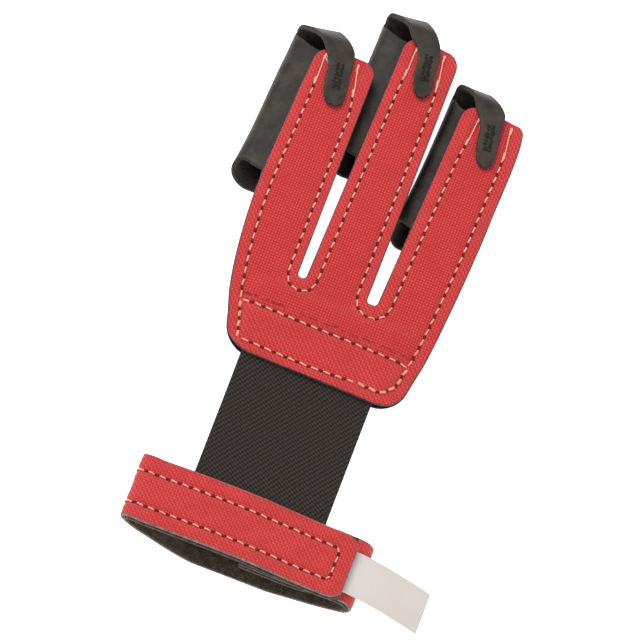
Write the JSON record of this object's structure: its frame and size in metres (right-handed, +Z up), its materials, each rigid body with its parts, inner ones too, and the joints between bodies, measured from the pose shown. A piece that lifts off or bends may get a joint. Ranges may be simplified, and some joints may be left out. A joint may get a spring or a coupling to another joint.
{
  "type": "archery glove",
  "caption": "Open-palm archery glove: red woven back panel with finger straps, black leather fingertip stalls, wide elastic and a closed wrist strap, lying palm side down.",
  "frame": {"origin": "middle of the bottom of the glove's box, on the surface that it lies on", "axes": "+X across the fingers from the index side to the ring side, +Y from the wrist strap to the fingertips, +Z up, out of the back of the hand"},
  "size_m": [0.1074, 0.204, 0.0175],
  "materials": {
    "red_fabric": "woven, matt",
    "black_lining": "matt",
    "black_leather": "smooth, low sheen",
    "black_elastic": "ribbed, matt",
    "brown_lining": "brushed, fuzzy",
    "black_fastener": "hook and loop",
    "white_satin": "satin"
  },
  "bodies": {
    "root": {"dorsal_fabric": "red_fabric", "dorsal_lining": "black_lining", "stall_index": "black_leather", "stall_middle": "black_leather", "stall_ring": "black_leather", "elastic_band": "black_elastic", "wrist_strap": "red_fabric", "wrist_lining": "brown_lining", "closure_patch": "black_fastener", "label_tag": "white_satin"}
  },
  "joints": []
}
